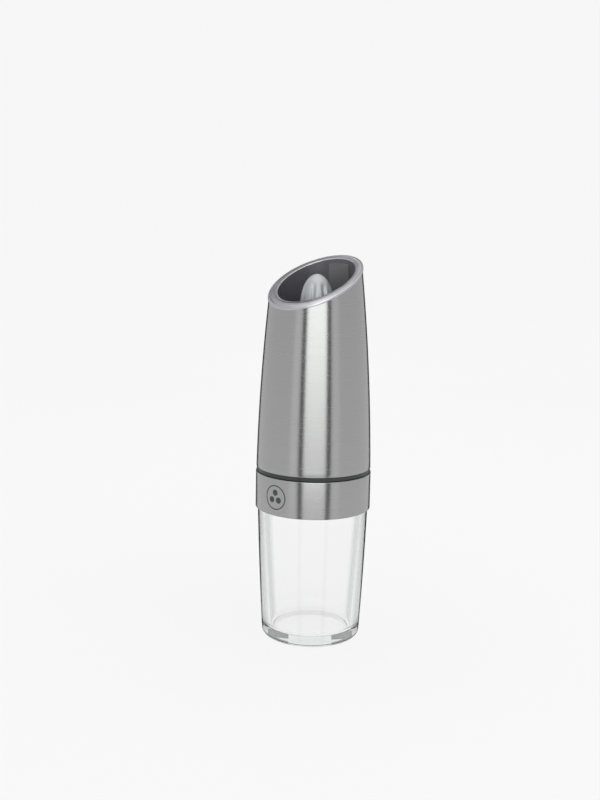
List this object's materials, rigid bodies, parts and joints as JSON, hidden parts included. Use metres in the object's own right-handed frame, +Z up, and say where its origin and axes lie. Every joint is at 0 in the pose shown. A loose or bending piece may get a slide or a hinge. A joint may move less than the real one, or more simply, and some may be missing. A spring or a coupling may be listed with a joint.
{
  "type": "pepper mill",
  "caption": "Tall round battery pepper mill: slanted brushed-steel shell with a fluted setting knob in its mouth, on a steel collar band and a thick clear jar.",
  "frame": {"origin": "centre of the jar's base", "axes": "+Z up along the mill's axis, the low side of the slanted mouth faces -Y, X = 0 is the mirror plane of the outside"},
  "size_m": [0.06, 0.06, 0.2002],
  "materials": {
    "clear_glass": "polished pressed glass",
    "black_abs": "moulded, fine satin",
    "brushed_steel": "brushed around the axis",
    "silicone": "moulded silicone",
    "flange_abs": "moulded, satin",
    "brass": "stamped",
    "plated_steel": "zinc plated",
    "cell_wrap": "printed film",
    "can_steel": "drawn and plated",
    "ferrite": "sintered",
    "natural_nylon": "moulded",
    "sintered_bronze": "sintered",
    "grey_nylon": "moulded",
    "natural_acetal": "moulded",
    "nitrile": "moulded rubber",
    "ceramic": "sintered and ground",
    "board": "solder mask on glass cloth",
    "lamp_epoxy": "cast epoxy",
    "clear_acrylic": "moulded, polished",
    "red_pvc": "extruded insulation",
    "white_pvc": "extruded insulation",
    "core_iron": "punched plates",
    "copper": "drawn and varnished",
    "satin_silver_abs": "silver painted, satin",
    "gilded_brass": "plated",
    "bright_chrome": "plated plastic",
    "charcoal_abs": "moulded, half gloss",
    "smoke_acrylic": "moulded, half gloss"
  },
  "bodies": {
    "container": {"jar": "clear_glass", "jar_collar": "black_abs", "band_sleeve": "brushed_steel"},
    "seal": {"jar_gasket": "silicone"},
    "core": {"base_flange": "flange_abs", "battery_frame": "black_abs", "feed_ducts": "black_abs", "contact_strips": "brass", "contact_springs": "plated_steel", "battery_cells": "cell_wrap", "top_deck": "black_abs", "motor_can": "can_steel", "motor_magnets": "ferrite", "motor_end_cap": "natural_nylon", "motor_brushes": "brass", "motor_bushes": "sintered_bronze", "gearbox_base": "grey_nylon", "gearbox_ring": "natural_acetal", "gearbox_cover": "grey_nylon", "shaft_seal": "nitrile", "burr_housing": "black_abs", "burr_ring": "ceramic", "ring_retainer": "black_abs", "shaft_bush": "sintered_bronze", "control_board": "board", "tilt_switch_tube": "plated_steel", "led_lamp": "lamp_epoxy", "light_guide": "clear_acrylic", "motor_wires": "red_pvc", "led_wires": "white_pvc", "flange_screws": "plated_steel", "deck_screws": "plated_steel", "cover_screws": "plated_steel", "housing_screws": "plated_steel", "motor_screws": "plated_steel"},
    "rotor": {"motor_shaft": "plated_steel", "armature_stack": "core_iron", "armature_windings": "copper", "commutator": "copper", "sun_gear": "brass"},
    "first_stage": {"first_carrier": "natural_acetal"},
    "first_a": {"first_planet_a": "natural_acetal"},
    "first_b": {"first_planet_b": "natural_acetal"},
    "first_c": {"first_planet_c": "natural_acetal"},
    "output": {"second_carrier": "natural_acetal", "drive_shaft": "plated_steel", "spring_seat": "plated_steel", "burr_spring": "plated_steel"},
    "second_a": {"second_planet_a": "natural_acetal"},
    "second_b": {"second_planet_b": "natural_acetal"},
    "second_c": {"second_planet_c": "natural_acetal"},
    "inner_burr": {"burr_cone": "ceramic"},
    "knob": {"grind_knob": "satin_silver_abs", "knob_nut": "brass"},
    "ball": {"tilt_ball": "gilded_brass"},
    "shell": {"steel_shell": "brushed_steel", "mouth_bezel": "bright_chrome", "mouth_liner": "charcoal_abs", "mouth_window": "smoke_acrylic", "inner_sleeve": "black_abs"}
  },
  "joints": [
    {"name": "head_turn", "type": "hinge", "parent": "container", "child": "seal", "pos_m": [0, 0, 0.0795], "axis": [0, 0, 1], "range_deg": [0, 60]},
    {"name": "head_rise", "type": "slide", "parent": "seal", "child": "core", "axis": [0, 0, 1], "range_m": [0, 0.0027]},
    {"name": "shell_lift", "type": "slide", "parent": "core", "child": "shell", "axis": [0, 0, 1], "range_m": [0, 0.105]},
    {"name": "motor_spin", "type": "hinge", "parent": "core", "child": "rotor", "pos_m": [0, 0, 0.113], "axis": [0, 0, 1], "continuous": true},
    {"name": "first_stage_spin", "type": "hinge", "parent": "core", "child": "first_stage", "pos_m": [0, 0, 0.136], "axis": [0, 0, 1], "continuous": true},
    {"name": "output_spin", "type": "hinge", "parent": "core", "child": "output", "pos_m": [0, 0, 0.16], "axis": [0, 0, 1], "continuous": true},
    {"name": "first_planet_a_spin", "type": "hinge", "parent": "first_stage", "child": "first_a", "pos_m": [0.00675, 0, 0.13], "axis": [0, 0, 1], "continuous": true},
    {"name": "first_planet_b_spin", "type": "hinge", "parent": "first_stage", "child": "first_b", "pos_m": [-0.00337, 0.00585, 0.13], "axis": [0, 0, 1], "continuous": true},
    {"name": "first_planet_c_spin", "type": "hinge", "parent": "first_stage", "child": "first_c", "pos_m": [-0.00337, -0.00585, 0.13], "axis": [0, 0, 1], "continuous": true},
    {"name": "second_planet_a_spin", "type": "hinge", "parent": "output", "child": "second_a", "pos_m": [0.00675, 0, 0.13], "axis": [0, 0, 1], "continuous": true},
    {"name": "second_planet_b_spin", "type": "hinge", "parent": "output", "child": "second_b", "pos_m": [-0.00337, 0.00585, 0.13], "axis": [0, 0, 1], "continuous": true},
    {"name": "second_planet_c_spin", "type": "hinge", "parent": "output", "child": "second_c", "pos_m": [-0.00337, -0.00585, 0.13], "axis": [0, 0, 1], "continuous": true},
    {"name": "burr_slide", "type": "slide", "parent": "output", "child": "inner_burr", "axis": [0, 0, 1], "range_m": [0, 0.0012], "deforming": ["burr_spring"]},
    {"name": "grind_set", "type": "hinge", "parent": "inner_burr", "child": "knob", "pos_m": [0, 0, 0.175], "axis": [0, 0, 1], "range_deg": [0, 541]},
    {"name": "tilt_ball_roll", "type": "slide", "parent": "core", "child": "ball", "axis": [0, 0, 1], "range_m": [0, 0.0055]}
  ],
  "couplings": [
    {"joint": "head_rise", "follows": "head_turn", "m_per_rad": 0.0025465},
    {"joint": "first_stage_spin", "follows": "motor_spin", "ratio": 0.22222},
    {"joint": "output_spin", "follows": "motor_spin", "ratio": 0.049383},
    {"joint": "first_planet_a_spin", "follows": "motor_spin", "ratio": -0.62222},
    {"joint": "first_planet_b_spin", "follows": "motor_spin", "ratio": -0.62222},
    {"joint": "first_planet_c_spin", "follows": "motor_spin", "ratio": -0.62222},
    {"joint": "second_planet_a_spin", "follows": "motor_spin", "ratio": -0.13827},
    {"joint": "second_planet_b_spin", "follows": "motor_spin", "ratio": -0.13827},
    {"joint": "second_planet_c_spin", "follows": "motor_spin", "ratio": -0.13827},
    {"joint": "grind_set", "follows": "burr_slide", "rad_per_m": 7854}
  ]
}
